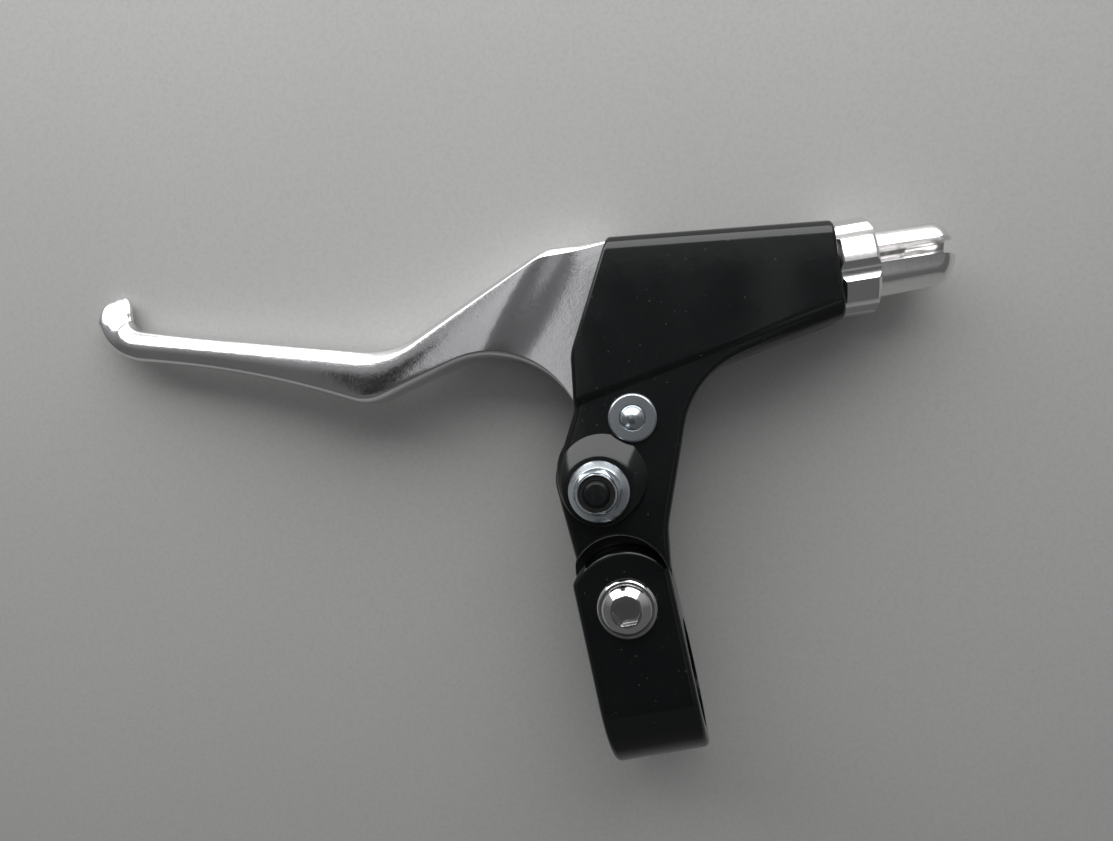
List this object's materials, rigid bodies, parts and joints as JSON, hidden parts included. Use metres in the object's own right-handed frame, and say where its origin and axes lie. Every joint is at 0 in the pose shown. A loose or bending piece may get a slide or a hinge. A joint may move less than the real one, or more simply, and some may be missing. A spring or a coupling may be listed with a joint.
{
  "type": "bicycle brake lever",
  "caption": "Flat-bar brake lever: black cast bracket with a split handlebar clamp, polished pivoting blade, and a slotted cable adjuster with a lobed lock ring.",
  "frame": {"origin": "centre of the handlebar bore", "axes": "+X along the handlebar towards the cable adjuster, +Y from the handlebar towards the lever, +Z out of the lever's plane on the clamp screw's side"},
  "size_m": [0.1755, 0.1203, 0.0413],
  "materials": {
    "black_paint": "gloss black paint on die-cast aluminium",
    "polished_aluminium": "polished",
    "satin_aluminium": "bright turned",
    "zinc_steel": "bright zinc",
    "chrome_steel": "bright plated",
    "black_steel": "black oxide",
    "black_nylon": "matte"
  },
  "bodies": {
    "bracket": {"bracket": "black_paint", "pivot_bolt": "black_steel", "pivot_nut": "zinc_steel", "lock_nut_ring": "black_nylon", "stop_rivet": "zinc_steel", "stop_washer": "zinc_steel", "clamp_screw": "chrome_steel"},
    "lever": {"lever_blade": "polished_aluminium", "pivot_bush_front": "black_nylon", "pivot_bush_rear": "black_nylon"},
    "lock_ring": {"adjuster_lock_ring": "satin_aluminium"},
    "barrel": {"adjuster_barrel": "satin_aluminium"}
  },
  "joints": [
    {"name": "lever_pull", "type": "hinge", "parent": "bracket", "child": "lever", "pos_m": [0, 0.0424, 0.0085], "axis": [0, 0, 1], "range_deg": [0, 40]},
    {"name": "adjuster_turn", "type": "hinge", "parent": "bracket", "child": "lock_ring", "pos_m": [0.0532, 0.07469, 0.0085], "axis": [0.9973, -0.0732, 0], "range_deg": [0, 1800]},
    {"name": "adjuster_travel", "type": "slide", "parent": "lock_ring", "child": "barrel", "axis": [0.9973, -0.0732, 0], "range_m": [0, 0.005]}
  ],
  "couplings": [
    {"joint": "adjuster_turn", "follows": "adjuster_travel", "rad_per_m": 6283.2}
  ]
}
